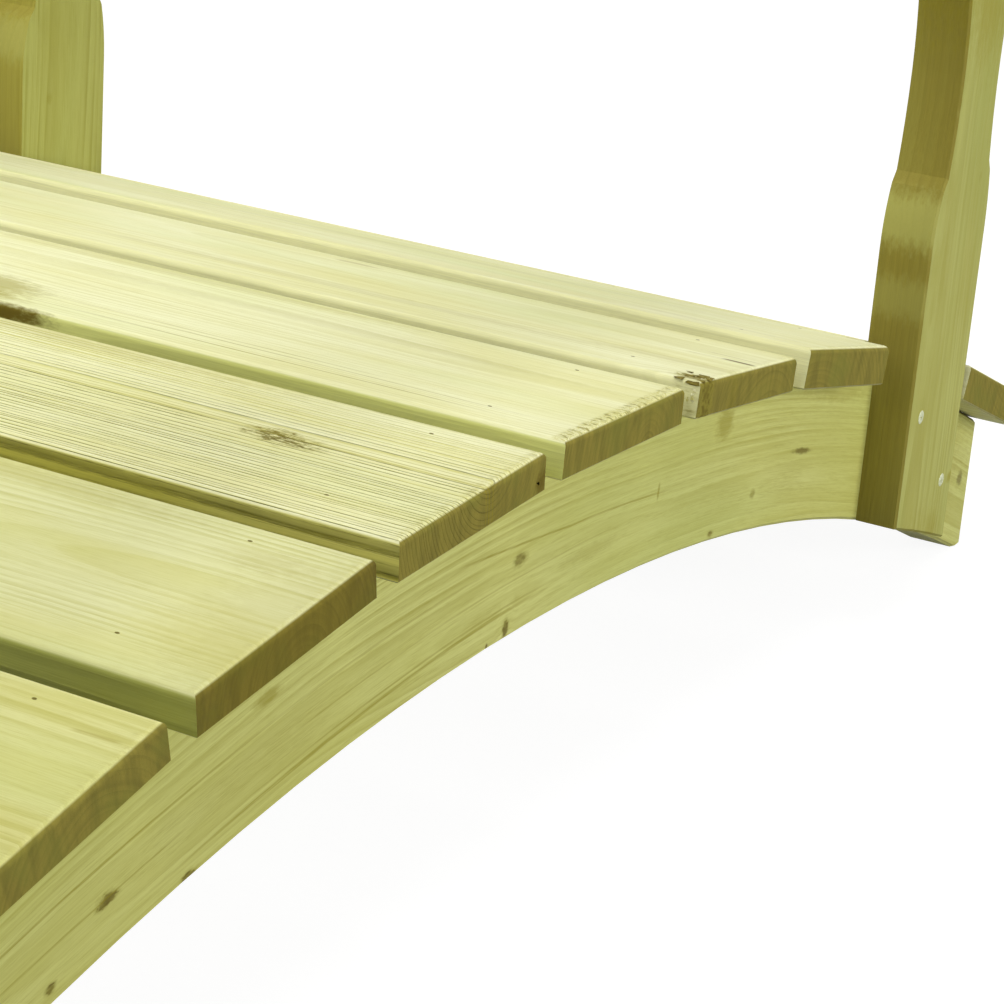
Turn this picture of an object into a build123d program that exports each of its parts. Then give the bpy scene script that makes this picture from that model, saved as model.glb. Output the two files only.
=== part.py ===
from build123d import *
from math import asin, cos, degrees, radians, sin, sqrt
import os

os.makedirs("parts", exist_ok=True)

# Arched garden bridge of planed, pressure-treated pine.
# Two beams cut to an arc carry a deck of flat boards. Four shaped posts are housed
# over the beams near their feet and hold an arched handrail and a middle rail.
# Millimetres. X runs along the bridge, Y across it, Z up. The origin is on the
# ground, under the crown of the arch, midway between the sides.

# Arch
arch_radius = 1734.0  # upper edge of the beams
clear_rise = 157.0  # ground to the beams' underside, at the crown

# Beams
beam_depth = 90.0
beam_thickness = 34.0
beam_reach = 714.0  # crown to the plumb-cut end
beam_easing = 2.0

# Deck
board_count = 10
board_width = 132.0
board_gap = 17.5  # along the beams' upper edge
board_thickness = 20.0
thick_board_thickness = 24.0
thick_boards = (8, 9, 10)  # cut from thicker stuff, towards the right-hand foot
board_edge_radius = 3.5
board_foot_easing = 1.0
board_seat = 0.2  # between a board's flat underside and the curved beam
deck_width = 740.0
short_board = 2  # counted from either end: this board stops short, between the posts

# Posts
post_shift = 27.7  # middle of a post from the middle of the short board, towards the foot of the bridge
post_width = 98.0
post_thickness = 34.0
post_easing = 1.5
housing_depth = 6.5  # how far a post is cut back over the beam and the rails
housing_clearance = 0.3
short_board_clearance = 1.0  # between a post and the end of the board beside it
ogee_start = 262.0  # heights above the ground
ogee_end = 302.0
cove_end = 309.0
waist_height = 372.0
crown_side_depths = (7.5, 13.2, 18.5)  # how far that edge has moved in at the ogee, cove and waist
end_side_depths = (4.5, 8.5, 13.5)
waist_sweep = 132.0  # height of the curve from the waist back out to full width
post_head_rise = 20.0  # of the post's head above the handrail beside it
post_head_crown = 12.0  # rise of the rounded head

# Rails
overall_height = 1050.0  # ground to the top of the handrail, at the crown
handrail_depth = 85.0
handrail_thickness = 34.0
handrail_reach = 850.0
handrail_easing = 4.0
midrail_height = 575.0  # ground to the middle of this rail, at a post
midrail_depth = 70.0
midrail_thickness = 28.0
midrail_reach = 700.0
midrail_easing = 2.5
rail_end_radius = 30.0

# Battens between the beams, under the board beside each pair of posts
batten_width = 60.0
batten_thickness = 34.0
batten_shift = 20.0  # from the middle of the short board towards the foot of the bridge

# What follows from the sizes above
underside_radius = arch_radius - beam_depth
arch_centre = clear_rise - underside_radius
beam_inset = post_thickness - housing_depth
board_pitch = degrees((board_width + board_gap) / arch_radius)
board_angles = [(i - (board_count - 1) / 2) * board_pitch for i in range(board_count)]
short_board_angle = board_angles[-short_board]
post_station = arch_radius * sin(radians(short_board_angle)) + post_shift
post_half = post_width / 2
handrail_radius = overall_height - arch_centre
midrail_radius = sqrt((midrail_height - arch_centre) ** 2 + post_station**2) + midrail_depth / 2
post_top = sqrt(handrail_radius**2 - post_station**2) + arch_centre + post_head_rise

FRONT, BACK = -1, 1
LEFT, RIGHT = -1, 1
side_names = {FRONT: "front", BACK: "back"}
end_names = {LEFT: "left", RIGHT: "right"}


def side_plane(side, inset):
    """Upright plane along the bridge, this far in from the ends of the boards."""
    return Plane.XZ.offset(-side * (deck_width / 2 - inset))


def save(piece, name):
    piece.part.label = name
    export_step(piece.part, f"parts/{name}.step")
    print(name, "volume", round(piece.part.volume / 1000.0), "cm3")


# Beams: a ring of timber, plumb cut at both ends and level where the feet stand
def arched_beam(side):
    with BuildPart() as beam:
        with BuildSketch(side_plane(side, beam_inset)):
            with Locations((0, arch_centre)):
                Circle(arch_radius)
                Circle(underside_radius, mode=Mode.SUBTRACT)
            Rectangle(2 * beam_reach, arch_radius, align=(Align.CENTER, Align.MIN), mode=Mode.INTERSECT)
        extrude(amount=side * beam_thickness)
        chamfer(beam.edges().filter_by(GeomType.CIRCLE), beam_easing)
    return beam


# Rails: an arc of timber about the same centre as the beams, with rounded ends
def arched_rail(side, top_radius, depth, thickness, reach):
    half_angle = degrees(asin(reach / top_radius))
    centre = (0, arch_centre)
    with BuildPart() as rail:
        with BuildSketch(side_plane(side, beam_inset)) as outline:
            with BuildLine():
                upper = CenterArc(centre, top_radius, 90 - half_angle, 2 * half_angle)
                lower = CenterArc(centre, top_radius - depth, 90 - half_angle, 2 * half_angle)
                Line(upper @ 0, lower @ 0)
                Line(upper @ 1, lower @ 1)
            make_face()
            fillet(outline.vertices(), rail_end_radius)
        extrude(amount=side * thickness)
    return rail


def handrail(side):
    rail = arched_rail(side, handrail_radius, handrail_depth, handrail_thickness, handrail_reach)
    with rail:
        chamfer(rail.faces().filter_by(Axis.Y).edges(), handrail_easing)
    return rail


def midrail(side):
    rail = arched_rail(side, midrail_radius, midrail_depth, midrail_thickness, midrail_reach)
    with rail:
        chamfer(rail.faces().filter_by(Axis.Y).edges(), midrail_easing)
    return rail


# Deck: each board lies flat on the two beams, square to the arch under its middle
def board_plane(angle):
    out = (sin(radians(angle)), 0, cos(radians(angle)))
    along = (out[2], 0, -out[0])
    radius = arch_radius + board_seat
    return Plane(origin=(radius * out[0], 0, arch_centre + radius * out[2]), x_dir=along, z_dir=out)


def stands_at_post(angle):
    return abs(abs(angle) - short_board_angle) < board_pitch / 2


def deck_board(number, angle):
    thickness = thick_board_thickness if number in thick_boards else board_thickness
    trim = post_thickness + short_board_clearance if stands_at_post(angle) else 0
    plane = board_plane(angle)
    with BuildPart() as board:
        with BuildSketch(plane):
            Rectangle(board_width, deck_width - 2 * trim)
        extrude(amount=thickness)
        faces = board.faces().sort_by(Axis(plane.origin, plane.z_dir))
        upper, lower = faces[-1].edges(), faces[0].edges()
        fillet(upper, board_edge_radius)
        chamfer(lower, board_foot_easing)
    return board


# Posts: a shaped outline with two waists, housed over the beam and both rails
def tangent_depth(height, depth):
    """Depth halfway up an arc that leaves the upright edge smoothly and ends this deep."""
    radius = (height**2 + depth**2) / (2 * depth)
    return radius - sqrt(radius**2 - height**2 / 4)


def post_edge(end, edge, depths, upside_down):
    """One long edge of a post from its straight foot up to the middle of the post."""

    def point(depth, height):
        level = 2 * midrail_height - height if upside_down else height
        return (end * (post_station + edge * (post_half - depth)), level)

    ogee_depth, cove_depth, waist_depth = depths
    ogee = ogee_end - ogee_start
    hollow = waist_height - cove_end
    half_sweep = waist_sweep / 2
    hollow_depth = waist_depth - tangent_depth(hollow, waist_depth - cove_depth)
    sweep_depth = tangent_depth(half_sweep, waist_depth / 2)
    Line(point(0, 0), point(0, ogee_start))
    ThreePointArc(
        point(0, ogee_start),
        point(tangent_depth(ogee, ogee_depth), ogee_start + ogee / 2),
        point(ogee_depth, ogee_end),
    )
    Line(point(ogee_depth, ogee_end), point(cove_depth, cove_end))
    ThreePointArc(
        point(cove_depth, cove_end),
        point(hollow_depth, waist_height - hollow / 2),
        point(waist_depth, waist_height),
    )
    ThreePointArc(
        point(waist_depth, waist_height),
        point(waist_depth - sweep_depth, waist_height + half_sweep / 2),
        point(waist_depth / 2, waist_height + half_sweep),
    )
    ThreePointArc(
        point(waist_depth / 2, waist_height + half_sweep),
        point(sweep_depth, waist_height + half_sweep * 3 / 2),
        point(0, waist_height + waist_sweep),
    )
    Line(point(0, waist_height + waist_sweep), point(0, midrail_height))


def post(side, end):
    shoulder = post_top - post_head_crown
    crown_side = end * (post_station - post_half)
    end_side = end * (post_station + post_half)
    twice_up = 2 * midrail_height
    with BuildPart() as piece:
        with BuildSketch(side_plane(side, 0)):
            with BuildLine():
                for edge, depths in ((-1, crown_side_depths), (1, end_side_depths)):
                    for upside_down in (False, True):
                        post_edge(end, edge, depths, upside_down)
                Line((crown_side, 0), (end_side, 0))
                Line((crown_side, twice_up), (end_side, twice_up))
            make_face()
            with Locations((0, arch_centre)):
                Circle(underside_radius, mode=Mode.SUBTRACT)
            with BuildLine():
                head = ThreePointArc((crown_side, shoulder), (end * post_station, post_top), (end_side, shoulder))
                Polyline(head @ 0, (crown_side, 0), (end_side, 0), head @ 1)
            make_face(mode=Mode.INTERSECT)
        extrude(amount=side * post_thickness)
        outer_face = piece.faces().sort_by(Axis.Y)[0 if side == FRONT else -1]
        chamfer(outer_face.edges(), post_easing)
        for top_radius, depth in (
            (arch_radius, beam_depth),
            (midrail_radius, midrail_depth),
            (handrail_radius, handrail_depth),
        ):
            with BuildSketch(side_plane(side, beam_inset)):
                with Locations((0, arch_centre)):
                    Circle(top_radius + housing_clearance)
                    Circle(top_radius - depth - housing_clearance, mode=Mode.SUBTRACT)
            extrude(amount=side * 2 * housing_depth, mode=Mode.SUBTRACT)
    return piece


# Battens: tie the beams together beside the posts and carry the short board
def batten(end):
    plane = board_plane(end * short_board_angle)
    length = deck_width - 2 * (beam_inset + beam_thickness)
    with BuildPart() as piece:
        with BuildSketch(plane):
            with Locations((end * batten_shift, 0)):
                Rectangle(batten_width, length)
        extrude(amount=-batten_thickness)
    return piece


for number, angle in enumerate(board_angles, start=1):
    save(deck_board(number, angle), f"deck_board_{number:02d}")

for side in (FRONT, BACK):
    save(arched_beam(side), f"beam_{side_names[side]}")
    save(handrail(side), f"handrail_{side_names[side]}")
    save(midrail(side), f"midrail_{side_names[side]}")
    for end in (LEFT, RIGHT):
        save(post(side, end), f"post_{side_names[side]}_{end_names[end]}")

for end in (LEFT, RIGHT):
    save(batten(end), f"batten_{end_names[end]}")
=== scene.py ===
# %% [markdown]
# # A garden bridge of pressure-treated pine
# The bridge comes in as 22 finished solids: ten deck boards, two bent beams, four
# shaped posts, four rails and two battens. Their shapes are settled, so this lesson
# is about looks. It gives every piece its own cut of timber, adds the screws, the
# nails and a few chips, and sets up the light and the camera.

# %% Load the bridge
import bpy
import bmesh
import random
from math import cos, hypot, pi, radians, sin, sqrt
from mathutils import Matrix, Vector


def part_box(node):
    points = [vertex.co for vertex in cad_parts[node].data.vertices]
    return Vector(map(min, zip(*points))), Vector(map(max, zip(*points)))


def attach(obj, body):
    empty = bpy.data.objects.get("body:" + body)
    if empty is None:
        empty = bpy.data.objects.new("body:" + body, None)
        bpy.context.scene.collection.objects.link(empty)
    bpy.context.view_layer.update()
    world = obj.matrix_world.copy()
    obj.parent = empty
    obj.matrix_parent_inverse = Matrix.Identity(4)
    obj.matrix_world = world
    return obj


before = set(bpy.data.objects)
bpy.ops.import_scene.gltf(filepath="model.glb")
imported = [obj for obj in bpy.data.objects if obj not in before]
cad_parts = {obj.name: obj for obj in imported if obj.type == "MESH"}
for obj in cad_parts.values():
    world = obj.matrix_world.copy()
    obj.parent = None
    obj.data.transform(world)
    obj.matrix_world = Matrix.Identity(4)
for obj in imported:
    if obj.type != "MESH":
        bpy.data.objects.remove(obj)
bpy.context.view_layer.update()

# %% [markdown]
# ## The camera
# The photograph is a close-up of one front corner, taken from above the deck and in
# front of it. Its place, turn and lens were worked out from the corners of the boards
# and the curves of the beam, so that those edges fall on the same points of the image.

# %% Camera
camera = bpy.data.objects.new("camera", bpy.data.cameras.new("camera"))
bpy.context.scene.collection.objects.link(camera)
camera.location = (-1.103520, -0.921405, 0.688245)
camera.rotation_euler = [radians(turn) for turn in (69.9194, -4.1864, -60.8302)]
camera.data.sensor_width = 36.0
camera.data.lens = 99.495
camera.data.clip_start = 0.05
bpy.context.scene.camera = camera
print("camera is", round(camera.location.length, 2), "m from the middle of the bridge")

# %% [markdown]
# ## The arch
# Everything on this bridge follows one circle. The beams are bent along it, the
# boards sit square to it, and the rails run about the same centre. These few numbers
# say where a board or a bend lies, so that grain can follow the timber.

# %% Measures of the arch, in metres
ARCH_CENTRE = -1.487
BEAM_TOP = 1.734
BEAM_MIDDLE = 1.689
BOARD_PITCH = (0.132 + 0.0175) / BEAM_TOP
DECK_HALF = 0.370
POST_STATION = 0.543
MIDRAIL_HEIGHT = 0.575
HANDRAIL_MIDDLE = 1.050 - ARCH_CENTRE - 0.0425
MIDRAIL_MIDDLE = hypot(MIDRAIL_HEIGHT - ARCH_CENTRE, POST_STATION)
BEAM_LINE, RAIL_LINE, POST_LINE = 0.3255, 0.325, 0.353  # their middles, from the middle of the deck


def board_angle(number):
    return (number - 5.5) * BOARD_PITCH


def board_top(number):
    """The three boards nearest the right-hand foot are 24 mm thick, and the others 20 mm."""
    return BEAM_TOP + 0.0002 + (0.024 if number in (8, 9, 10) else 0.020)


def paint(red, green, blue):
    """A colour read off a colour chart, 0 to 255, as the light that it returns."""
    return tuple(
        v / 255 / 12.92 if v <= 10 else ((v / 255 + 0.055) / 1.055) ** 2.4 for v in (red, green, blue)
    ) + (1.0,)


# %% [markdown]
# ## A bench for mixing finishes
# A finish is a tree of small sums. Wiring them one at a time is long, so this bench
# has a short word for each kind: a sum on numbers, a sum on places, a slope from one
# value to another, a blend of two colours, and a cloud of noise stretched along the
# grain.

# %% Bench
class Bench:
    def __init__(self, name):
        self.finish = bpy.data.materials.new(name)
        self.finish.use_nodes = True
        self.nodes = self.finish.node_tree.nodes
        self.links = self.finish.node_tree.links
        self.shader = self.nodes["Principled BSDF"]

    def give(self, socket, value):
        if isinstance(value, bpy.types.NodeSocket):
            self.links.new(value, socket)
        else:
            socket.default_value = value

    def sum(self, kind, *values, clamp=False):
        node = self.nodes.new("ShaderNodeMath")
        node.operation, node.use_clamp = kind, clamp
        for socket, value in zip(node.inputs, values):
            self.give(socket, value)
        return node.outputs[0]

    def place(self, kind, *values):
        node = self.nodes.new("ShaderNodeVectorMath")
        node.operation = kind
        for socket, value in zip(node.inputs, values):
            self.give(socket, value)
        return node.outputs["Value" if kind in ("LENGTH", "DOT_PRODUCT") else "Vector"]

    def slope(self, value, start, end, low=0.0, high=1.0, smooth=True):
        node = self.nodes.new("ShaderNodeMapRange")
        node.interpolation_type = "SMOOTHSTEP" if smooth else "LINEAR"
        for socket, v in zip(node.inputs, (value, start, end, low, high)):
            self.give(socket, v)
        return node.outputs[0]

    def blend(self, amount, first, second):
        node = self.nodes.new("ShaderNodeMix")
        node.data_type = "RGBA"  # its sockets for colours are inputs 6 and 7, and output 2
        for number, value in ((0, amount), (6, first), (7, second)):
            self.give(node.inputs[number], value)
        return node.outputs[2]

    def split(self, vector):
        node = self.nodes.new("ShaderNodeSeparateXYZ")
        self.give(node.inputs[0], vector)
        return node.outputs[0], node.outputs[1], node.outputs[2]

    def join(self, x, y, z):
        node = self.nodes.new("ShaderNodeCombineXYZ")
        for socket, value in zip(node.inputs, (x, y, z)):
            self.give(socket, value)
        return node.outputs[0]

    def cloud(self, place, stretch, detail=2.0, rough=0.5):
        node = self.nodes.new("ShaderNodeTexNoise")
        self.give(node.inputs["Vector"], self.place("MULTIPLY", place, stretch))
        node.inputs["Scale"].default_value = 1.0
        node.inputs["Detail"].default_value = detail
        node.inputs["Roughness"].default_value = rough
        return node.outputs[0]

    def relief(self, height, distance):
        """Raises the surface by this much where the height is 1, for the light only."""
        bump = self.nodes.new("ShaderNodeBump")
        bump.inputs["Distance"].default_value = distance
        self.give(bump.inputs["Height"], height)
        self.give(self.shader.inputs["Normal"], bump.outputs[0])


# %% [markdown]
# ## Where a point lies in its timber
# Wood grain could be painted on each face, but then it would not meet at the corners.
# Instead each finish first asks where a point lies in the plank that the piece was
# cut from: how far across it, how far through its thickness and how far along the
# grain. A straight piece needs a turn and a shift. A bent piece needs the angle and
# the distance from the centre of the arch, so its grain bends with it.

# %% Places in the timber
def straight_grain(bench, origin, turn, order):
    """order names which of the turned axes are across, through and along.

    Gives the place, how much a face is a sawn end, and which way it looks across."""
    where = bench.nodes.new("ShaderNodeTexCoord").outputs["Object"]
    mapping = bench.nodes.new("ShaderNodeMapping")
    mapping.vector_type = "TEXTURE"
    bench.give(mapping.inputs["Vector"], where)
    mapping.inputs["Location"].default_value = origin
    mapping.inputs["Rotation"].default_value = turn
    axes = dict(zip("xyz", bench.split(mapping.outputs[0])))
    facing = bench.nodes.new("ShaderNodeNewGeometry").outputs["Normal"]
    width, _, length = [
        Matrix.Rotation(turn[1], 3, "Y") @ Vector([float(axis == a) for a in "xyz"]) for axis in order
    ]
    end_facing = bench.sum("ABSOLUTE", bench.place("DOT_PRODUCT", facing, tuple(length)))
    return [axes[a] for a in order], end_facing, bench.place("DOT_PRODUCT", facing, tuple(width))


def bent_grain(bench, middle_radius, side_y):
    where = bench.nodes.new("ShaderNodeTexCoord").outputs["Object"]
    x, y, z = bench.split(where)
    height = bench.sum("SUBTRACT", z, ARCH_CENTRE)
    angle = bench.sum("ARCTAN2", x, height)
    squares = bench.sum("ADD", bench.sum("MULTIPLY", x, x), bench.sum("MULTIPLY", height, height))
    radius = bench.sum("SQRT", squares)
    across = bench.sum("SUBTRACT", radius, middle_radius)
    through = bench.sum("SUBTRACT", y, side_y)
    along = bench.sum("MULTIPLY", angle, middle_radius)
    downwards = bench.sum("MULTIPLY", bench.sum("SINE", angle), -1.0)
    tangent = bench.join(bench.sum("COSINE", angle), 0.0, downwards)
    facing = bench.nodes.new("ShaderNodeNewGeometry").outputs["Normal"]
    end_facing = bench.sum("ABSOLUTE", bench.place("DOT_PRODUCT", facing, tangent))
    return [across, through, along], end_facing, 0.0


# %% [markdown]
# ## Pine, pressure treated
# The timber is pine that was soaked in a green copper salt, so its pale straw colour
# leans towards green. Three things make it read as real. The yearly rings are drawn
# as circles about the heart of the tree, so one set of rings gives straight lines on
# a face and arcs on a sawn end. Knots push the rings aside. Sawn ends drink more of
# the salt and are much darker than the planed faces.
#
# Millimetres are used for the timber itself, because that is how rings are counted.
# Each cut is shifted by chance to its own place in one endless cloud of noise, so no
# two pieces share a pattern.

# %% A cut of timber
class Timber:
    """Where a point lies in one cut of pine, and the clouds of noise that its grain is made of."""

    def __init__(self, name, grain, seed):
        self.bench = bench = Bench(name)
        place, end_facing, self.side_facing = grain(bench)
        millimetres = [bench.sum("MULTIPLY", metres, 1000.0) for metres in place]
        self.across, _, self.along = millimetres
        self.where = bench.join(*millimetres)
        draw = random.Random(seed)
        shift = tuple(draw.uniform(-900, 900) for _ in range(3))
        self.shifted = bench.place("ADD", self.where, shift)
        self.fibre = self.cloud((1.6, 1.6, 0.03), 3.0, 0.6)
        self.hair = self.cloud((4.0, 4.0, 0.1), 2.0, 0.6)
        self.pores = self.cloud((0.8, 0.8, 0.3), 3.0, 0.6)
        self.drift = self.cloud((0.03, 0.03, 0.005), 3.0, 0.55)
        self.wave = bench.sum("SUBTRACT", self.cloud((0.03, 0.03, 0.006), 1.0, 0.5), 0.5)
        patches = self.cloud((0.30, 0.30, 0.12), 3.0, 0.65)
        self.ragged = bench.sum("MULTIPLY", bench.sum("SUBTRACT", patches, 0.5), 1.3)
        self.is_end = bench.slope(end_facing, 0.55, 0.8)

    def cloud(self, stretch, detail, rough):
        return self.bench.cloud(self.shifted, stretch, detail, rough)

    def away(self, middle, half_sizes):
        """How far a point lies from a middle, across, through and along, where 0 leaves one out."""
        shares = tuple(1.0 / half if half else 0.0 for half in half_sizes)
        offset = self.bench.place("SUBTRACT", self.where, middle)
        return self.bench.place("LENGTH", self.bench.place("MULTIPLY", offset, shares))


# %% [markdown]
# ## Spots and streaks
# Knots, stains and painted highlights are all spots: rounded areas with a ragged rim, given
# by where they lie on the plank. A streak is a single line that follows the grain and
# fades at both ends, such as a glue line or a crack. Numbers keep them at their
# measured places, which noise alone would not.

# %% Spots and streaks
def spot_on(timber, spot, uneven):
    """spot: along, across, half length, half width, strength, and for some through and half depth.

    Gives the distance from its middle, where the rim is at 1, and how strongly it covers a place."""
    bench = timber.bench
    at_along, at_across, half_length, half_width, strength = spot[:5]
    at_through, half_through = spot[5:] or (0.0, 0.0)
    away = timber.away((at_across, at_through, at_along), (half_width, half_through, half_length))
    return away, bench.slope(bench.sum("ADD", away, uneven), 1.1, 0.35, 0.0, strength)


def streak_on(timber, streak, swaying):
    """streak: along and across at its start and at its end, half width, strength.

    swaying: the place across, with the sway of the grain in it."""
    bench, along = timber.bench, timber.along
    from_along, from_across, to_along, to_across, half_width, strength = streak
    level = bench.slope(along, from_along, to_along, from_across, to_across, smooth=False)
    off = bench.sum("ABSOLUTE", bench.sum("SUBTRACT", swaying, level))
    line = bench.slope(off, half_width, half_width * 0.3, 0.0, strength)
    fade = 0.15 * (to_along - from_along)
    line = bench.sum("MULTIPLY", line, bench.slope(along, from_along - fade, from_along + fade))
    return bench.sum("MULTIPLY", line, bench.slope(along, to_along + fade, to_along - fade))


# %% [markdown]
# ## Knots and yearly rings
# A year is the distance from the heart of the tree, counted in ring widths. Slow noise
# bends the rings and knots push them outwards. Late wood is the dark hard edge of each
# year. It is stronger in some years than in others, and thinner lines lie between.

# %% Knots and yearly rings
def knots_in(timber, knots, swirl):
    """How dark the knots are at a place, and how far they push the rings aside.

    Without a swirl a knot is only fine dark strokes."""
    bench = timber.bench
    strokes = timber.cloud((1.1, 1.1, 0.14), 3.0, 0.7)
    core, push = 0.0, 0.0
    for knot in knots:
        away, dark = spot_on(timber, knot, timber.ragged)
        if swirl == 0.0:
            dark = bench.sum("MULTIPLY", dark, bench.slope(strokes, 0.41, 0.52, 0.1, 1.0))
        core = bench.sum("MAXIMUM", core, dark)
        push = bench.sum("ADD", push, bench.slope(away, 0.5, 3.0, swirl * knot[3], 0.0))
    return core, push


def years_in(timber, heart, ring, wander, push):
    """The distance from the heart, in millimetres and in years."""
    bench = timber.bench
    wobble = bench.sum("SUBTRACT", timber.cloud((0.010, 0.010, 0.0015), 2.0, 0.5), 0.5)
    straight = timber.away((*heart, 0.0), (1.0, 1.0, 0.0))
    short_waves = bench.sum("MULTIPLY", timber.wave, wander * 0.15)
    bends = bench.sum("ADD", bench.sum("MULTIPLY", wobble, wander), short_waves)
    from_heart = bench.sum("ADD", bench.sum("ADD", straight, push), bends)
    uneven = bench.cloud(bench.join(from_heart, 0.0, 0.0), (0.09, 1.0, 1.0), 2.0, 0.6)
    years = bench.sum("DIVIDE", from_heart, ring)
    return from_heart, bench.sum("ADD", years, bench.sum("MULTIPLY", uneven, 3.0))


def late_wood(timber, from_heart, years, fine):
    """The late wood of each year alone, and the same with thinner lines between."""
    bench = timber.bench
    year = bench.sum("FRACT", years)
    late = bench.sum("MULTIPLY", bench.slope(year, 0.2, 0.86), bench.slope(year, 1.0, 0.9))
    on_ring = bench.join(from_heart, 0.0, bench.sum("MULTIPLY", timber.along, 0.05))
    strength = bench.slope(bench.cloud(on_ring, (0.16, 1.0, 0.1), 2.0, 0.6), 0.3, 0.7, 0.2, 1.3)
    late = bench.sum("MULTIPLY", late, strength)
    thin = bench.sum("FRACT", bench.sum("MULTIPLY", years, 2.43))
    thin = bench.sum("MULTIPLY", bench.slope(thin, 0.45, 0.8), bench.slope(thin, 1.0, 0.86))
    thin = bench.sum("MULTIPLY", thin, bench.slope(timber.hair, 0.35, 0.65, 0.0, fine))
    return late, bench.sum("ADD", late, thin)


def grooves(timber, years):
    """A sharp cut beside each hard line, as weather leaves it."""
    bench = timber.bench
    off = bench.sum("ABSOLUTE", bench.sum("SUBTRACT", bench.sum("FRACT", years), 0.93))
    cut = bench.sum("MULTIPLY", bench.slope(off, 0.16, 0.05), bench.slope(timber.fibre, 0.35, 0.6, 0.25, 1.0))
    return bench.sum("MULTIPLY", cut, bench.slope(timber.across, 50.0, 5.0, 0.2, 1.0))


# %% [markdown]
# ## Faces, sides and ends
# A planed face shows its rings as stripes over a slow drift of tone. The side of a board
# or post that looks to the left takes its own tone, set by which way the face looks: painted
# shade where that tone is darker, as on the third to sixth boards and the right-hand posts,
# and painted light where it is paler, as on the seventh to ninth boards. A sawn end shows
# the rings as arcs, under soft upright streaks and pores.

# %% Faces, sides and ends
def planed_face(timber, tone, late, stripe, drift_share):
    bench = timber.bench
    green = timber.cloud((0.012, 0.012, 0.003), 2.0, 0.5)
    face = bench.blend(bench.sum("MULTIPLY", late, stripe, clamp=True), tone["early"], tone["late"])
    for cloud, start, end, share, other in (
        (timber.drift, 0.35, 0.72, drift_share, "deep"),
        (green, 0.45, 0.75, 0.5, "green"),
        (timber.fibre, 0.40, 0.70, 0.22, "late"),
        (timber.hair, 0.50, 0.75, 0.20, "line"),
    ):
        face = bench.blend(bench.slope(cloud, start, end, 0.0, share), face, tone[other])
    return face


def side_painted_light_and_shade(timber, face, late, stripe, side, reach, side_late):
    """reach: how far a face looks to the left where this tone begins and where it is full."""
    bench = timber.bench
    # Painted light and shade: faces that look to the left take their own tone, darker for painted shade,
    # paler for painted light.
    amount = bench.sum(
        "MULTIPLY", bench.slope(timber.side_facing, *reach), bench.slope(timber.drift, 0.25, 0.75, 0.85, 1.0)
    )
    tone, fibre_tone, late_tone = [paint(*[v * share for v in side]) for share in (1.0, 0.8, side_late)]
    shade = bench.blend(bench.slope(timber.fibre, 0.35, 0.7, 0.0, 0.35), tone, fibre_tone)
    shade = bench.blend(bench.sum("MULTIPLY", late, stripe, clamp=True), shade, late_tone)
    return bench.blend(amount, face, shade)


def sawn_end(timber, tone, late):
    bench = timber.bench
    upright = timber.cloud((0.16, 0.03, 0.05), 3.0, 0.6)
    end = bench.blend(bench.sum("MULTIPLY", late, 0.45, clamp=True), tone["end"], tone["end_late"])
    end = bench.blend(bench.slope(upright, 0.35, 0.72, 0.0, 0.55), end, tone["end_dark"])
    end = bench.blend(bench.slope(timber.pores, 0.45, 0.75, 0.0, 0.18), end, tone["end_dark"])
    return bench.blend(bench.slope(timber.drift, 0.45, 0.7, 0.0, 0.5), end, tone["end_green"])


# %% [markdown]
# ## Knots, stains, painted highlights and frayed ends
# These go on last, over faces and ends alike. Weak stains take a yellow brown, because
# a weak dark brown over pale wood would look grey. Pale spots are painted highlights
# where a face turns to the light. A paler tone along the rounded long edges of a board is
# a painted highlight, and where the saw left the end the fibres fray into pale crumbs and
# dark specks.

# %% Knots, stains, painted highlights and frayed ends
def stains_and_painted_highlights(timber, colour, tone, core, marks, painted_highlights, streaks):
    bench = timber.bench
    uneven = bench.slope(timber.ragged, -0.35, 0.25, 0.9, 0.3)
    inner = bench.sum("MULTIPLY", bench.slope(core, 0.45, 0.9), uneven)
    colour = bench.blend(bench.sum("MULTIPLY", core, 0.9, clamp=True), colour, tone["knot_rim"])
    colour = bench.blend(inner, colour, tone["knot"])
    rim = bench.sum("MULTIPLY", timber.ragged, 0.8)
    for mark in marks:
        _, dark = spot_on(timber, mark, rim)
        colour = bench.blend(dark, colour, tone["stain" if mark[4] > 0.6 else "soft_stain"])
    sway = bench.sum("MULTIPLY", timber.wave, 3.0)
    sway = bench.sum("ADD", sway, bench.sum("MULTIPLY", timber.ragged, 0.35))
    swaying = bench.sum("ADD", timber.across, sway)
    broken = bench.slope(timber.fibre, 0.3, 0.6, 0.45, 1.0)
    for streak in streaks:
        line = bench.sum("MULTIPLY", streak_on(timber, streak, swaying), broken)
        colour = bench.blend(line, colour, tone["stain" if streak[5] > 0.8 else "soft_stain"])
    # Painted highlights: pale spots in the early-wood tone where a face turns to the light.
    for mark in painted_highlights:
        _, light = spot_on(timber, mark, rim)
        colour = bench.blend(light, colour, tone["early"])
    return colour


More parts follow.
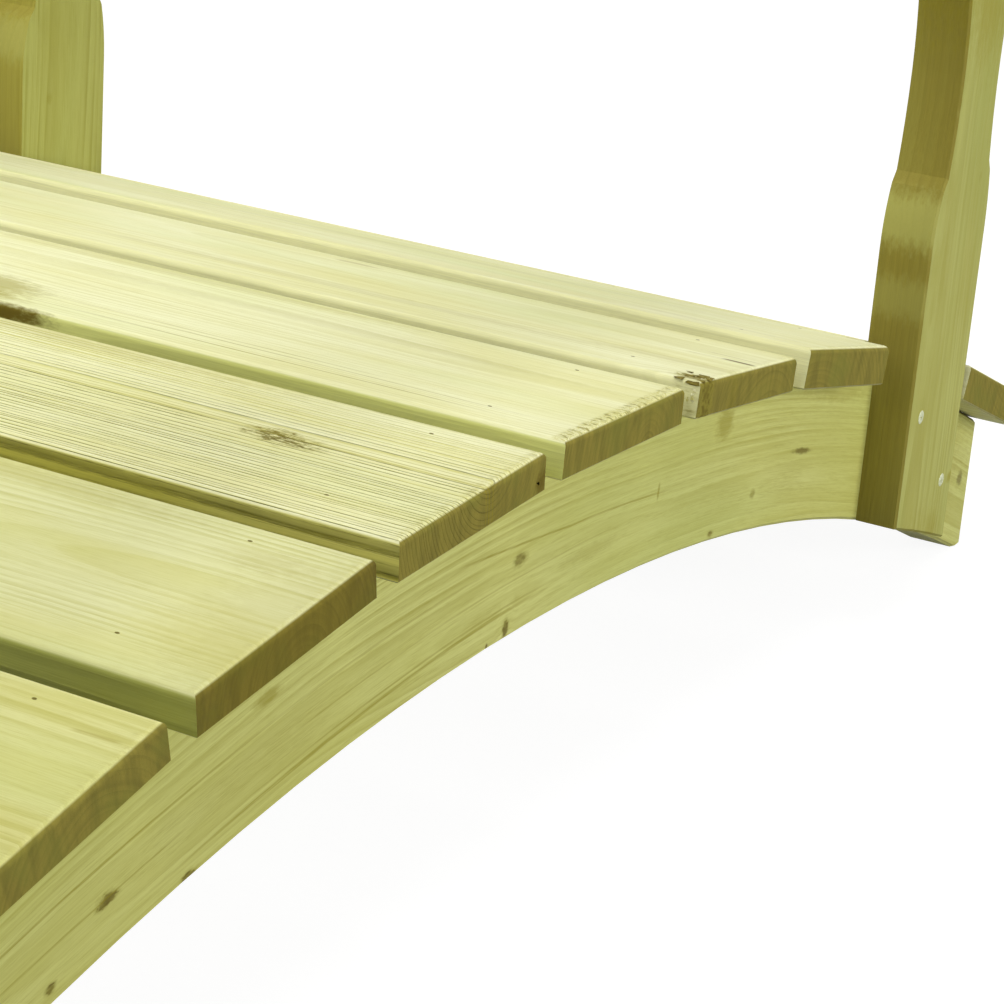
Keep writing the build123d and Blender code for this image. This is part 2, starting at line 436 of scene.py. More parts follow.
def eased_edges(timber, colour, tone, edge, edge_highlight, frayed, fray_reach):
    """Gives the colour, and how much the fibres crumble."""
    bench, (half_width, half_length) = timber.bench, edge
    planed = bench.sum("SUBTRACT", 1.0, timber.is_end)
    sideways = bench.sum("ABSOLUTE", timber.side_facing)
    # Painted highlight: a paler tone within a few millimetres of the long edges, on faces that do not look
    # sideways.
    near_side = bench.slope(bench.sum("ABSOLUTE", timber.across), half_width - 4.2, half_width - 1.5)
    side_edge_highlight = bench.sum("MULTIPLY", near_side, bench.slope(timber.drift, 0.3, 0.7, 0.2 * edge_highlight, edge_highlight))
    side_edge_highlight = bench.sum("MULTIPLY", side_edge_highlight, bench.slope(sideways, 0.9, 0.6))
    colour = bench.blend(bench.sum("MULTIPLY", side_edge_highlight, planed), colour, tone["edge_highlight"])
    sound = half_length - fray_reach
    near_end = bench.slope(bench.sum("ABSOLUTE", timber.along), sound - 1.5, sound + 2.0)
    rounding = bench.sum("MULTIPLY", bench.sum("MULTIPLY", near_end, planed), bench.slope(sideways, 0.8, 0.4))
    crumbs = timber.cloud((1.3, 1.3, 0.8), 3.0, 0.7)
    pale, dark = bench.slope(crumbs, 0.42, 0.62), bench.slope(timber.ragged, 0.02, 0.2)
    for patch, other in ((pale, "frayed"), (dark, "frayed_dark")):
        amount = bench.sum("MULTIPLY", bench.sum("MULTIPLY", rounding, patch), frayed)
        colour = bench.blend(amount, colour, tone[other])
    return colour, bench.sum("MULTIPLY", rounding, crumbs)


# %% [markdown]
# ## The whole finish
# The steps come together here. Only the rings, the grooves, the fibres and crumbling
# ends raise the surface. Stains lie flat, which looks the same and renders sooner.

# %% Pine
def pine(
    name, grain, tone, heart, seed=0, ring=3.0, wander=20.0, stripe=0.5, ridge=0.1, fine=0.3, groove=0.0,
    drift_share=0.6, knots=(), swirl=0.9, marks=(), painted_highlights=(), streaks=(), painted_shade_under_deck=0.0,
    side=None, side_reach=(-0.7, -0.95), side_late=0.66, edge=None, edge_highlight=0.5, frayed=0.15, fray_reach=6.0,
):
    """heart: where the middle of the tree lies, across and through. ring: width of a year.

    stripe, ridge, fine and groove say how strongly the rings show, as tone, relief, thin lines
    and cuts. painted_shade_under_deck: how dark a beam is in the last 2 mm under the boards. edge: half the
    width and length of a board whose edges are eased."""
    timber = Timber(name, grain, seed)
    bench = timber.bench
    core, push = knots_in(timber, knots, swirl)
    from_heart, years = years_in(timber, heart, ring, wander, push)
    hard_lines, late = late_wood(timber, from_heart, years, fine)
    height = bench.sum("MULTIPLY", hard_lines, ridge)
    face = planed_face(timber, tone, late, stripe, drift_share)
    if groove:
        cut = grooves(timber, years)
        face = bench.blend(bench.sum("MULTIPLY", cut, groove), face, tone["groove"])
        height = bench.sum("SUBTRACT", height, bench.sum("MULTIPLY", cut, groove * 0.6))
    # Painted light and shade on the sides that look to the left.
    if side is not None:
        face = side_painted_light_and_shade(timber, face, late, stripe, side, side_reach, side_late)
    colour = bench.blend(timber.is_end, face, sawn_end(timber, tone, late))
    colour = stains_and_painted_highlights(timber, colour, tone, core, marks, painted_highlights, streaks)
    # Painted shade: the last 2 mm of a beam under the boards are darkened towards the knot tone.
    if painted_shade_under_deck:
        colour = bench.blend(bench.slope(timber.across, 42.8, 44.4, 0.0, painted_shade_under_deck), colour, tone["knot"])

    height = bench.sum("MULTIPLY", height, bench.slope(timber.is_end, 0.0, 1.0, 1.0, 0.3))
    if edge is not None:
        colour, crumbling = eased_edges(timber, colour, tone, edge, edge_highlight, frayed, fray_reach)
        if frayed > 0.3:
            height = bench.sum("ADD", height, bench.sum("MULTIPLY", crumbling, 0.5 * frayed))
    height = bench.sum("ADD", height, bench.sum("MULTIPLY", timber.fibre, 0.10))
    height = bench.sum("ADD", height, bench.sum("MULTIPLY", timber.hair, 0.03))
    bench.relief(height, 0.001)

    bench.give(bench.shader.inputs["Base Color"], colour)
    rough = bench.slope(timber.fibre, 0.3, 0.7, 0.55, 0.70)
    rough = bench.sum("ADD", rough, bench.sum("MULTIPLY", timber.is_end, 0.25))
    bench.give(bench.shader.inputs["Roughness"], rough)
    bench.shader.inputs["Specular IOR Level"].default_value = 0.12
    bench.finish.diffuse_color = tone["early"]
    return bench.finish


# %% [markdown]
# ## Tones
# The boards are the palest. The beams and the rails are a deeper yellow green, and the
# posts a little greyer. Each tone is a small family: early wood, late wood, fine lines,
# slow changes, sawn ends, knots, stains and painted highlights on eased edges.

# %% Tones
def shaded(colour, *shares):
    """A colour with all its parts, or each of them, made less."""
    return paint(*[v * share for v, share in zip(colour, shares * 3 if len(shares) == 1 else shares)])


def tones(early, late, deep, green, end):
    return {
        "early": paint(*early), "late": paint(*late), "deep": paint(*deep), "green": paint(*green),
        "line": shaded(late, 0.84, 0.83, 0.6), "groove": paint(110, 108, 24),
        "end": paint(*end), "end_late": shaded(end, 0.82), "end_dark": shaded(end, 0.74),
        "end_green": shaded(end, 0.86, 0.94, 0.9),
        "knot": paint(98, 84, 28), "knot_rim": paint(156, 148, 58),
        "stain": paint(108, 94, 30), "soft_stain": paint(152, 140, 28),
        # A painted highlight for rounded edges: the early wood made a little paler.
        "edge_highlight": paint(*[min(255, v * 1.04) for v in early]),
        "frayed": paint(206, 200, 118), "frayed_dark": paint(150, 142, 66),
    }


deck_tone = tones((246, 246, 204), (206, 202, 122), (228, 224, 150), (222, 229, 166), (148, 137, 60))
middle_tone = tones((226, 226, 174), (192, 190, 112), (212, 208, 130), (200, 210, 144), (124, 111, 46))
yellow_tone = tones((222, 220, 156), (182, 176, 84), (204, 198, 110), (200, 206, 128), (148, 137, 60))
beam_tone = tones((222, 223, 138), (178, 172, 78), (206, 205, 110), (200, 208, 120), (150, 136, 56))
post_tone = tones((192, 193, 110), (164, 160, 76), (176, 173, 86), (172, 180, 98), (150, 136, 56))

# %% [markdown]
# ## Deck boards
# Every board is its own cut of timber, so each gets its own heart, ring width and
# knots. Where the photograph shows a board, its grain follows it: fine raised ridges
# on the fifth board, a long smooth flame on the sixth, a broken knot at one corner of
# the seventh. The rest are drawn by chance from a fixed seed.
#
# The tables give what stands out on each board, in millimetres from the middle of its
# top: knots, marks and streaks as described above.

# %% What each board is like
# Painted light: the sides of these boards that look to the left get a pale tone, so they read as bright as
# the tops.
PAINTED_LIGHT_SIDE = dict(side=(234, 232, 176), side_reach=(-0.25, -0.7), side_late=0.9, edge_highlight=0.0)
# side: the tone for the side of a board that looks to the left, painted shade where it is darker than the
# top.
BOARD_GRAIN = {
    3: dict(heart=(18, -46), ring=4.5, stripe=0.50, ridge=0.06, side=(150, 150, 66), tone=yellow_tone),
    4: dict(
        heart=(8, -30), ring=3.4, stripe=0.45, ridge=0.12, side=(172, 176, 90), edge_highlight=0.15, tone=middle_tone,
    ),
    5: dict(
        heart=(14, 10.5), ring=2.7, wander=4.0, stripe=0.7, ridge=0.24, fine=0.8, groove=0.95,
        side=(204, 197, 84), side_late=0.5, edge_highlight=0.1, swirl=0.0, frayed=0.4,
    ),
    6: dict(
        heart=(26, -22), ring=3.8, stripe=0.34, ridge=0.08, side=(216, 219, 126), edge_highlight=0.1,
        frayed=0.9, fray_reach=8.5,
    ),
    7: dict(heart=(30, -60), ring=5.0, stripe=0.34, ridge=0.05, **PAINTED_LIGHT_SIDE),
    8: dict(heart=(-40, -70), ring=4.6, stripe=0.30, ridge=0.04, **PAINTED_LIGHT_SIDE),
    9: dict(heart=(10, -60), ring=4.6, stripe=0.30, ridge=0.04, **PAINTED_LIGHT_SIDE),
}
BOARD_KNOTS = {
    4: [(316, -41, 2.4, 1.5, 0.9)],
    5: [(-262, 7.0, 26, 10.5, 1.0)],
    7: [(-364, -56, 16, 11, 0.85)],
}
BOARD_MARKS = {
    4: [(-375, 0, 60, 90, 0.16), (-180, 55, 140, 9, 0.2), (-330, 40, 30, 12, 0.14)],
    5: [(-371, 62, 5, 7, 0.9, -14, 7), (0, 58, 260, 9, 0.25)],
    6: [
        (0, -38, 46, 22, 0.55), (-38, -67, 34, 5, 1.0, -4, 9), (-6, -56, 40, 10, 0.5),
        (-180, 30, 200, 8, 0.14), (-60, 58, 200, 6, 0.18),
    ],
    7: [(-88, 52, 20, 4, 0.3), (-120, -30, 230, 9, 0.16), (-330, -20, 60, 10, 0.2)],
    8: [(-60, 20, 260, 10, 0.12), (-300, -40, 70, 8, 0.12)],
}
BOARD_STREAKS = {
    3: [(-363, 46, -342, 45, 1.6, 0.4)],
    5: [
        (-500, 12.0, 500, 12.8, 0.6, 0.6), (-500, 15.5, 500, 14.6, 0.5, 0.5),
        (-500, 9.4, 500, 10.0, 0.5, 0.5),
    ],
    6: [
        (-330, -42, -120, -40, 0.8, 0.4), (-300, -50, -60, -49, 0.8, 0.5),
        (-240, -36, -40, -35, 0.7, 0.35),
    ],
    7: [(-366, 12, -348, 13, 2.4, 1.0), (-352, 13, -326, 12, 0.9, 0.5), (-364, 22, -334, 24, 1.0, 0.5)],
}
CHANCE_BOARDS = (1, 2, 9, 10)
SHORT_BOARDS = (2, 9)


# %% Finishes of the boards
def chance_knots(draw, count, *ranges):
    """ranges: from and to, for along, across, half length, half width and strength."""
    return [tuple(draw.uniform(*reach) for reach in ranges) for _ in range(count)]


def board_finish(number):
    draw = random.Random(100 + number)
    chance = dict(
        heart=(draw.uniform(-45, 45), draw.choice((-1, 1)) * draw.uniform(25, 80)),
        ring=draw.uniform(3.0, 5.0), stripe=draw.uniform(0.4, 0.6), ridge=draw.uniform(0.05, 0.2),
    )
    knots = list(BOARD_KNOTS.get(number, []))
    if number in CHANCE_BOARDS:
        knots += chance_knots(draw, 2, (-250, 320), (-52, 52), (7, 16), (4, 7), (0.45, 0.8))
    half_length = 335.0 if number in SHORT_BOARDS else 370.0
    top = board_top(number)
    middle = (sin(board_angle(number)) * top, 0.0, ARCH_CENTRE + cos(board_angle(number)) * top)
    return pine(
        f"pine_board_{number:02d}",
        lambda bench: straight_grain(bench, middle, (0.0, board_angle(number), 0.0), "xzy"),
        knots=knots, seed=number, marks=BOARD_MARKS.get(number, ()),
        streaks=BOARD_STREAKS.get(number, ()), edge=(66.0, half_length),
        **{"tone": deck_tone, **BOARD_GRAIN.get(number, chance)},
    )


def dress(node, finish):
    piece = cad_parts[node]
    piece.data.materials.clear()
    piece.data.materials.append(finish)


for number in range(1, 11):
    dress(f"deck_board_{number:02d}", board_finish(number))
print("boards dressed")

# %% [markdown]
# ## Beams
# The front beam looks glued from two bent planks: the photograph shows a thin dark
# line about halfway up, at much the same distance from the centre of the arch, and
# grain that follows the curve. So both beams get bent grain and a glue line.

# %% Finishes of the beams
def round_the_arch(turn, radius):
    """A mark seen at this angle and distance from the centre of the arch, as along and across."""
    middle = BEAM_MIDDLE * 1000
    return radians(turn) * middle, radius - middle


FRONT_BEAM_KNOTS = [
    (*round_the_arch(0.87, 1683.6), 9, 4.5, 0.75),
    (*round_the_arch(0.54, 1650.6), 4.0, 7.5, 0.9),
    (*round_the_arch(-10.65, 1669.2), 9, 4.2, 1.0),
    (*round_the_arch(-11.97, 1652.6), 5, 3.0, 0.9),
    (*round_the_arch(-8.79, 1646.5), 7, 3.0, 0.9),
    (*round_the_arch(10.88, 1666.7), 5, 3.5, 0.6),
    (*round_the_arch(9.0, 1648.5), 6, 3.0, 0.8),
]
FRONT_BEAM_MARKS = [
    (*round_the_arch(8.84, 1713.2), 14, 12, 0.55),
    (*round_the_arch(14.5, 1727.0), 70, 9, 0.35),
    (*round_the_arch(19.0, 1696.0), 60, 40, 0.22),
    (*round_the_arch(-15.0, 1706.0), 60, 8, 0.16),
    (*round_the_arch(3.5, 1668.0), 45, 5, 0.22),
    (*round_the_arch(13.16, 1688.9), 19, 2.4, 0.8),
    (*round_the_arch(6.2, 1684.6), 1.8, 6, 0.6),
    (*round_the_arch(-6.66, 1700.5), 12, 4.5, 0.6),
    (*round_the_arch(24.3, 1690.7), 8, 6, 0.7),
    (*round_the_arch(22.5, 1690.0), 60, 60, 0.22),
    (*round_the_arch(-0.1, 1647.0), 1.8, 1.8, 0.9),
]
FRONT_BEAM_STREAKS = [
    (*round_the_arch(-25.0, 1686.7), *round_the_arch(-8.2, 1686.7), 1.1, 0.65),
    (*round_the_arch(-8.2, 1686.7), *round_the_arch(-1.0, 1686.4), 1.0, 0.4),
    (*round_the_arch(-8.5, 1655.0), *round_the_arch(1.0, 1659.5), 1.5, 0.65),
    (*round_the_arch(-7.0, 1659.5), *round_the_arch(1.5, 1662.0), 0.9, 0.45),
    (*round_the_arch(-1.0, 1697.0), *round_the_arch(2.7, 1687.5), 0.9, 0.7),
    (*round_the_arch(2.7, 1687.5), *round_the_arch(6.5, 1683.7), 0.9, 0.6),
    (*round_the_arch(-13.0, 1671.0), *round_the_arch(-9.0, 1669.5), 0.9, 0.5),
    (*round_the_arch(-6.0, 1673.0), *round_the_arch(4.0, 1674.5), 0.7, 0.35),
]


def beam_finish(side, seed):
    draw = random.Random(200 + seed)
    knots, marks, streaks = FRONT_BEAM_KNOTS, FRONT_BEAM_MARKS, FRONT_BEAM_STREAKS
    if side > 0:
        knots = chance_knots(draw, 7, (-680, 680), (-38, 38), (5, 12), (3, 6), (0.6, 1.0))
        marks, streaks = [], [(-720, -2.3, 720, -2.3, 1.0, 0.6)]
    # The beams get painted shade along their top, where they lie under the boards.
    return pine(
        f"pine_beam_{seed}", lambda bench: bent_grain(bench, BEAM_MIDDLE, side * BEAM_LINE), beam_tone,
        heart=(-20, side * 60), ring=3.0, wander=20.0, stripe=0.5, ridge=0.10, fine=0.6,
        knots=knots, swirl=0.15, seed=20 + seed, marks=marks, streaks=streaks, painted_shade_under_deck=0.9,
    )


dress("beam_front", beam_finish(-1, 1))
dress("beam_back", beam_finish(1, 2))
print("beams dressed")

# %% [markdown]
# ## Rails
# The rails are bent too. The middle rail is one plank, and the handrail two.

# %% Finishes of the rails
RAILS = (
    ("handrail", HANDRAIL_MIDDLE, 34, [(-900, 0, 900, 0, 1.0, 0.5)]),
    ("midrail", MIDRAIL_MIDDLE, 28, []),
)
for side, word in ((-1, "front"), (1, "back")):
    for rail, middle, half_width, streaks in RAILS:
        draw = random.Random(f"{rail} {word}")
        knots = chance_knots(draw, 5, (-640, 640), (-half_width, half_width), (5, 12), (3, 6), (0.5, 0.9))
        dress(f"{rail}_{word}", pine(
            f"pine_{rail}_{word}", lambda bench: bent_grain(bench, middle, side * RAIL_LINE), beam_tone,
            heart=(draw.uniform(-25, 25), side * draw.uniform(30, 70)), ring=draw.uniform(2.8, 4.0),
            stripe=0.7, ridge=0.12, fine=0.5, wander=14.0, knots=knots, streaks=streaks,
            seed=draw.randrange(1000),
        ))
print("rails dressed")

# %% [markdown]
# ## Posts and battens
# The posts stand with their grain upright, so the sawn ends are the foot and the
# rounded head. On the two right-hand posts the sides that look to the left are darkened
# with painted shade, and painted highlights lie where the curve of a side turns to the
# light. The battens run across under the short boards.

# %% Finishes of the posts and the battens
POST_KNOTS = {"post_front_right": [(300, 26, 5, 4, 0.3)]}
POST_MARKS = {
    "post_front_right": [
        (92, 46, 5, 8, 0.6), (60, 18, 22, 12, 0.3), (440, 10, 80, 60, 0.5), (40, 0, 60, 60, 0.25),
        (300, 6, 30, 8, 0.12), (250, -22, 36, 5, 0.22), (225, -34, 14, 6, 0.2), (130, 40, 26, 5, 0.2),
        (180, -6, 30, 4, 0.12),
    ],
    "post_back_right": [(239, -17, 5, 4, 0.25)],
}
# Painted highlights: pale spots where a face of a post turns to the light.
POST_PAINTED_HIGHLIGHTS = {
    "post_front_right": [
        (281, -44, 22, 22, 0.5), (340, -24, 36, 6, 0.55), (232, -44, 18, 18, 0.25), (155, 20, 30, 14, 0.3),
    ],
    "post_back_right": [(285, -44, 20, 20, 0.4)],
}
# Painted shade: the tone of the side of a post that looks to the left.
POST_PAINTED_SHADE = {"post_front_right": (148, 136, 56), "post_back_right": (174, 163, 68)}
UPRIGHT = (0.0, 0.0, 0.0)

for side, word in ((-1, "front"), (1, "back")):
    for end, hand in ((-1, "left"), (1, "right")):
        name = f"post_{word}_{hand}"
        draw = random.Random(name)
        upper = chance_knots(draw, 3, (450, 960), (-34, 34), (6, 13), (3, 7), (0.5, 0.85))
        middle = (end * POST_STATION, side * POST_LINE, 0.0)
        dress(name, pine(
            f"pine_{name}", lambda bench: straight_grain(bench, middle, UPRIGHT, "xyz"), post_tone,
            heart=(draw.uniform(-30, 30), side * draw.uniform(30, 70)), ring=draw.uniform(3.4, 4.6),
            stripe=0.6, ridge=0.07, wander=26.0, drift_share=0.9, seed=draw.randrange(1000),
            knots=POST_KNOTS.get(name, []) + upper, marks=POST_MARKS.get(name, ()),
            painted_highlights=POST_PAINTED_HIGHLIGHTS.get(name, ()), side=POST_PAINTED_SHADE.get(name), side_reach=(-0.3, -0.6),
            side_late=0.93,
        ))
for end, hand in ((-1, "left"), (1, "right")):
    low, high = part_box(f"batten_{hand}")
    turn = end * board_angle(9)
    middle = [(a + b) / 2 for a, b in zip(low, high)]
    dress(f"batten_{hand}", pine(
        f"pine_batten_{hand}", lambda bench: straight_grain(bench, middle, (0.0, turn, 0.0), "xzy"),
        beam_tone, heart=(10, end * 30), ring=3.8, stripe=0.6, ridge=0.15, seed=60 + end,
        knots=[(end * 120, 8, 12, 6, 0.7)],
    ))
print("posts and battens dressed")

# %% [markdown]
# ## Screws
# Two screws hold each post to its beam, on a diagonal, and two more hold each rail.
# A screw head is a shallow dome with a cross-shaped recess. It is turned as a ring of
# faces from the rim to the recess, because a plain disc would catch no light in the
# cross.

# %% Screw head
def screw_steel():
    bench = Bench("zinc_plated_steel")
    where = bench.nodes.new("ShaderNodeTexCoord").outputs["Object"]
    patch = bench.cloud(where, (900.0, 900.0, 900.0), 3.0, 0.6)
    zinc = bench.blend(bench.slope(patch, 0.35, 0.7), paint(214, 220, 186), paint(190, 194, 150))
    bench.give(bench.shader.inputs["Base Color"], zinc)
    bench.give(bench.shader.inputs["Roughness"], bench.slope(patch, 0.3, 0.7, 0.45, 0.65))
    bench.shader.inputs["Metallic"].default_value = 0.25
    return bench.finish


def turned_rings(shape, steps, profile):
    """Bands of faces between rings. profile: half width, half length and height of each ring."""
    angles = [2 * pi * i / steps for i in range(steps)]
    rings = [
        [shape.verts.new((wide * cos(angle), long * sin(angle), rise)) for angle in angles]
        for wide, long, rise in profile
    ]
    for outer, inner in zip(rings, rings[1:]):
        for i in range(steps):
            shape.faces.new((outer[i], outer[(i + 1) % steps], inner[(i + 1) % steps], inner[i]))
    return rings


def screw_head(name, radius, finish):
    """A domed head with a cross recess, facing +Z, its rim at z = 0."""
    mesh, shape = bpy.data.meshes.new(name), bmesh.new()
    dome = ((1.02, -0.0008), (1.0, 0.0), (0.97, 0.0003), (0.86, 0.00055), (0.72, 0.00065))
    rings = turned_rings(shape, 48, [(radius * share, radius * share, rise) for share, rise in dome])
    arm, half = radius * 0.50, radius * 0.09
    quarter = [(arm, -half), (arm, half), (half, half)]
    corners = []
    for _ in range(4):
        corners += quarter
        quarter = [(-y, x) for x, y in quarter]
    lip = [shape.verts.new((x, y, 0.00068)) for x, y in corners]
    floor = [shape.verts.new((x * 0.7, y * 0.7, 0.0001)) for x, y in corners]
    loop = [shape.edges.new((lip[i], lip[(i + 1) % 12])) for i in range(12)]
    rim = [edge for edge in shape.edges if edge.verts[0] in rings[-1] and edge.verts[1] in rings[-1]]
    bmesh.ops.triangle_fill(shape, edges=loop + rim, use_beauty=True)
    for i in range(12):
        shape.faces.new((lip[i], lip[(i + 1) % 12], floor[(i + 1) % 12], floor[i]))
    shape.faces.new(floor)
    bmesh.ops.recalc_face_normals(shape, faces=shape.faces)
    shape.to_mesh(mesh)
    shape.free()
    mesh.materials.append(finish)
    for polygon in mesh.polygons:
        polygon.use_smooth = False
    return mesh


steel = screw_steel()
head = screw_head("screw_head", 0.0045, steel)
print("screw head faces:", len(head.polygons))

# %% Screws in the posts
BEAM_SCREWS = [(-0.028, 0.152), (0.029, 0.0937)]  # off the middle of the post, and above the ground
RAIL_SCREWS = [(-0.020, 0.014), (0.020, -0.014)]  # off the middle of the post, and off the rail's
screw_draw = random.Random(7)
screws = 0
for side, word in ((-1, "front"), (1, "back")):
    for end, hand in ((-1, "left"), (1, "right")):
        handrail_height = sqrt(HANDRAIL_MIDDLE**2 - POST_STATION**2) + ARCH_CENTRE
        places = list(BEAM_SCREWS)
        for level in (MIDRAIL_HEIGHT, handrail_height):
            places += [(off, level + rise) for off, rise in RAIL_SCREWS]
        for number, (off, level) in enumerate(places, start=1):
            screw = bpy.data.objects.new(f"screw_{word}_{hand}_{number}", head)
            bpy.context.scene.collection.objects.link(screw)
            screw.rotation_euler = (radians(90) * (1 if side < 0 else -1), screw_draw.uniform(0, pi), 0.0)
            screw.location = (end * (POST_STATION + off), side * (DECK_HALF - 0.0002), level)
            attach(screw, "root")
            screws += 1
print("screws:", screws)

# %% [markdown]
# ## Nails
# Small dark dots lie on the boards in pairs, above the beam. They are taken for brads
# driven level with the surface. Each is a low oval head of dull dark steel.

# %% Nails in the boards
def nail_finish():
    bench = Bench("dull_nail_steel")
    where = bench.nodes.new("ShaderNodeTexCoord").outputs["Object"]
    patch = bench.cloud(where, (1500.0, 1500.0, 1500.0), 2.0, 0.6)
    bench.give(bench.shader.inputs["Base Color"], bench.blend(patch, paint(92, 84, 36), paint(136, 128, 66)))
    bench.give(bench.shader.inputs["Roughness"], bench.slope(patch, 0.3, 0.7, 0.7, 0.9))
    bench.shader.inputs["Specular IOR Level"].default_value = 0.1
    return bench.finish


def nail_head(finish):
    mesh, shape = bpy.data.meshes.new("nail_head"), bmesh.new()
    profile = ((0.0008, 0.0013, -0.0002), (0.00075, 0.0012, 0.00003), (0.0004, 0.0006, 0.00006))
    rings = turned_rings(shape, 20, profile)
    shape.faces.new(rings[-1])
    shape.to_mesh(mesh)
    shape.free()
    mesh.materials.append(finish)
    return mesh


nail = nail_head(nail_finish())
NAIL_LINE = 0.3155  # from the middle of the deck
NAIL_PAIR = (-0.040, 0.054)  # off the middle of the board
NAIL_CHANCE = 0.002
nail_draw = random.Random(11)
nails = 0
for number in range(1, 11):
    turn = board_angle(number)
    out = Vector((sin(turn), 0.0, cos(turn)))
    across = Vector((cos(turn), 0.0, -sin(turn)))
    for side in (-1, 1):
        for off in NAIL_PAIR:
            shift = off + nail_draw.uniform(-NAIL_CHANCE, NAIL_CHANCE)
            from_middle = side * (NAIL_LINE + nail_draw.uniform(-NAIL_CHANCE, NAIL_CHANCE))
            spot = out * (board_top(number) - 0.00001) + across * shift
            spot += Vector((0.0, from_middle, ARCH_CENTRE))
            brad = bpy.data.objects.new(f"nail_{number:02d}_{nails % 4 + 1}", nail)
            bpy.context.scene.collection.objects.link(brad)
            brad.rotation_euler = (0.0, turn, 0.0)
            brad.location = spot
            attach(brad, "root")
            nails += 1
print("nails:", nails)

# %% [markdown]
# ## Broken timber
# A knot has broken away at one corner of the seventh board, and the fifth board has a
# splintered corner. Both leave small angular chips, some pale and fresh, some dark.
# Each chip is a hull round a few points drawn by chance, most of them long and flat.

# %% Chips and splinters
def chip_finish(name, pale, dark):
    bench = Bench(name)
    where = bench.nodes.new("ShaderNodeTexCoord").outputs["Object"]
    patch = bench.cloud(where, (700.0, 160.0, 700.0), 3.0, 0.65)
    colour = bench.blend(bench.slope(patch, 0.35, 0.65), paint(*pale), paint(*dark))
    bench.give(bench.shader.inputs["Base Color"], colour)
    bench.relief(patch, 0.0005)
    bench.shader.inputs["Roughness"].default_value = 0.75
    bench.shader.inputs["Specular IOR Level"].default_value = 0.12
    return bench.finish


def chips(name, number, finish, draw, count, area, half_sizes):
    """area: across, along and up, each from and to. half_sizes: across, along and up."""
    turn = board_angle(number)
    out, width = Vector((sin(turn), 0.0, cos(turn))), Vector((cos(turn), 0.0, -sin(turn)))
    shape = bmesh.new()
    for _ in range(count):
        middle = [draw.uniform(*reach) for reach in area]
        share = draw.uniform(0.5, 1.0)
        points = []
        for _ in range(9):
            across, along, up = [m + share * h * draw.uniform(-1, 1) for m, h in zip(middle, half_sizes)]
            spot = width * across / 1000 + out * (board_top(number) + up / 1000)
            points.append(shape.verts.new((spot.x, max(along / 1000, -DECK_HALF), spot.z + ARCH_CENTRE)))
        hull = bmesh.ops.convex_hull(shape, input=points)
        inside = [v for v in hull["geom_interior"] if isinstance(v, bmesh.types.BMVert)]
        bmesh.ops.delete(shape, geom=inside, context="VERTS")
    mesh = bpy.data.meshes.new(name)
    shape.to_mesh(mesh)
    shape.free()
    mesh.materials.append(finish)
    piece = bpy.data.objects.new(name, mesh)
    bpy.context.scene.collection.objects.link(piece)
    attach(piece, "root")
    print(name, "faces:", len(mesh.polygons))


fresh = chip_finish("fresh_chip", (240, 238, 200), (196, 190, 116))
weathered = chip_finish("dark_chip", (140, 128, 60), (92, 80, 32))
chip_draw = random.Random(5)
CHIPS = (
    ("chips_dark_top", 7, weathered, 14, ((-65, -46), (-368, -353), (-0.4, 0.1)), (2.8, 4.5, 0.7)),
    ("chips_pale_top", 7, fresh, 7, ((-64, -50), (-367, -352), (-0.2, 0.3)), (1.8, 3.0, 0.8)),
    ("chips_dark_side", 7, weathered, 3, ((-66.2, -65.8), (-369, -360), (-2.5, -0.5)), (0.7, 4.6, 1.2)),
    ("chips_pale_side", 7, fresh, 6, ((-66.4, -65.8), (-368, -354), (-13, -3)), (0.8, 1.6, 2.8)),
    ("splinters_dark", 5, weathered, 8, ((58, 66), (-368, -362), (-19, -12)), (2.2, 4.0, 1.6)),
)
for name, number, finish, count, area, half_sizes in CHIPS:
    chips(name, number, finish, chip_draw, count, area, half_sizes)

# %% [markdown]
# ## Floor and light
# The photograph has a plain white ground. The floor returns some light to the timber
# and keeps the shadow of the bridge. To the camera and in reflections it is nearly
# white. A wide soft lamp hangs high over the bridge, a second stands in front, a third
# high on the left to light the gaps between the boards, and a faint one behind. The
# sky gives the rest, so the top faces are the brightest and the front faces next.

# %% Floor
floor_mesh = bpy.data.meshes.new("floor")
corners = [(30.0 * x, 30.0 * y, 0.0) for x, y in ((-1, -1), (1, -1), (1, 1), (-1, 1))]
floor_mesh.from_pydata(corners, [], [(0, 1, 2, 3)])
floor = bpy.data.objects.new("floor", floor_mesh)
floor.location.z = -0.001
bpy.context.scene.collection.objects.link(floor)
ground = Bench("floor")
ground.shader.inputs["Base Color"].default_value = (0.22, 0.22, 0.22, 1.0)
ground.shader.inputs["Roughness"].default_value = 1.0
ground.shader.inputs["Specular IOR Level"].default_value = 0.0
glow = ground.nodes.new("ShaderNodeEmission")
glow.inputs["Strength"].default_value = 0.92
both = ground.nodes.new("ShaderNodeAddShader")
ground.links.new(ground.shader.outputs[0], both.inputs[0])
ground.links.new(glow.outputs[0], both.inputs[1])
seen = ground.nodes.new("ShaderNodeLightPath")
either = ground.sum("MAXIMUM", seen.outputs["Is Camera Ray"], seen.outputs["Is Glossy Ray"])
choose = ground.nodes.new("ShaderNodeMixShader")
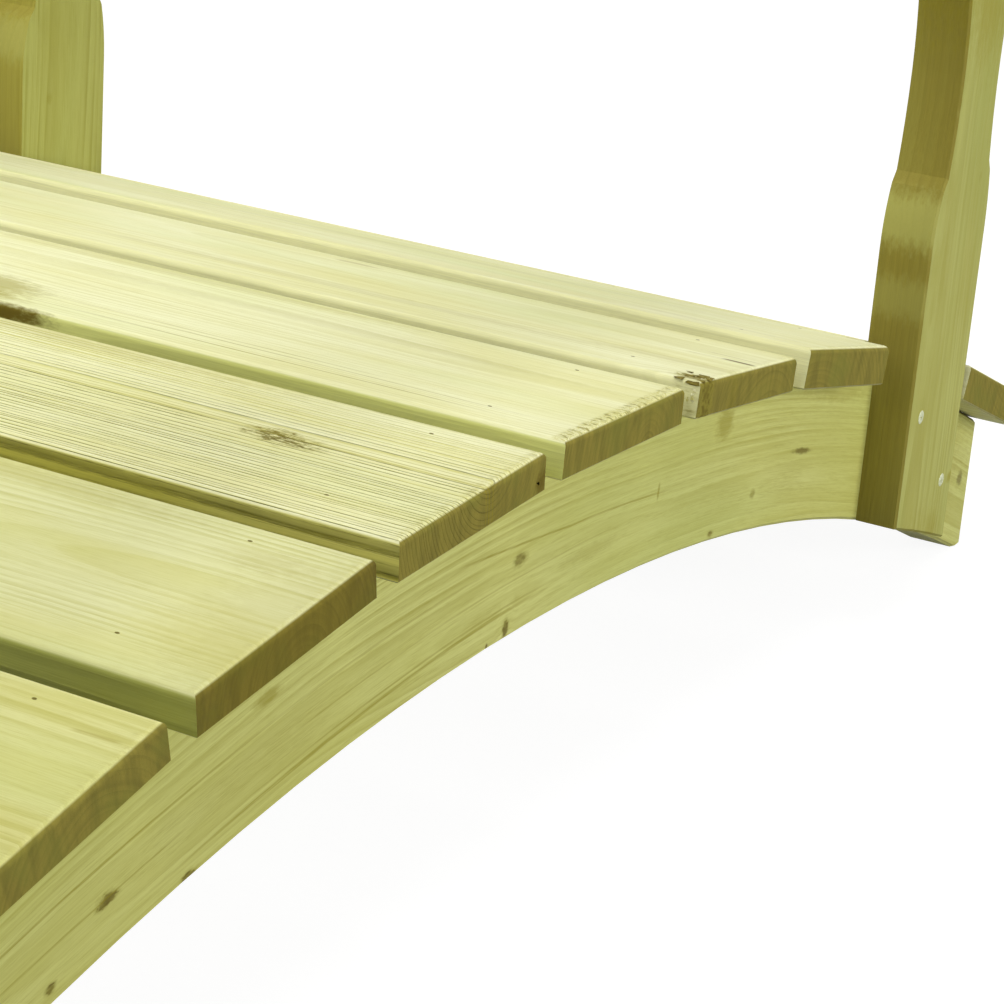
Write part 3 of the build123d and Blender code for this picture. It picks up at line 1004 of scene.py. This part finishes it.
ground.links.new(either, choose.inputs[0])
ground.links.new(ground.shader.outputs[0], choose.inputs[1])
ground.links.new(both.outputs[0], choose.inputs[2])
ground.links.new(choose.outputs[0], ground.nodes["Material Output"].inputs["Surface"])
floor_mesh.materials.append(ground.finish)

# %% Sky and lamps
sky = bpy.data.worlds.new("sky")
bpy.context.scene.world = sky
sky.use_nodes = True
background = sky.node_tree.nodes["Background"]
background.inputs["Color"].default_value = (1.0, 1.0, 1.0, 1.0)
path = sky.node_tree.nodes.new("ShaderNodeLightPath")
level = sky.node_tree.nodes.new("ShaderNodeMapRange")
most = sky.node_tree.nodes.new("ShaderNodeMath")
most.operation = "MAXIMUM"
sky.node_tree.links.new(path.outputs["Is Camera Ray"], most.inputs[0])
sky.node_tree.links.new(path.outputs["Is Glossy Ray"], most.inputs[1])
sky.node_tree.links.new(most.outputs[0], level.inputs["Value"])
level.inputs["To Min"].default_value = 0.27
level.inputs["To Max"].default_value = 1.0
sky.node_tree.links.new(level.outputs[0], background.inputs["Strength"])


def soft_lamp(name, place, aim, width, share):
    """share: the light on a face turned to the lamp, where 1 shows a colour as written."""
    lamp = bpy.data.lights.new(name, "AREA")
    lamp.shape, lamp.size = "SQUARE", width
    distance = (Vector(place) - Vector(aim)).length
    lamp.energy = share * pi * pi * distance**2
    holder = bpy.data.objects.new(name, lamp)
    holder.location = place
    holder.rotation_euler = (Vector(place) - Vector(aim)).to_track_quat("Z", "Y").to_euler()
    bpy.context.scene.collection.objects.link(holder)
    print(name, "energy", round(lamp.energy), "W")


soft_lamp("key", (-0.5, -0.3, 3.2), (0.1, -0.1, 0.3), 2.2, 0.72)
soft_lamp("front", (0.7, -3.5, 0.9), (0.2, -0.3, 0.2), 1.6, 0.50)
soft_lamp("left", (-2.8, -0.3, 2.2), (0.2, 0.0, 0.2), 1.6, 0.30)
soft_lamp("fill", (-2.0, 3.0, 2.2), (0.0, 0.0, 0.4), 3.0, 0.10)

scene = bpy.context.scene
scene.view_settings.view_transform = "Standard"
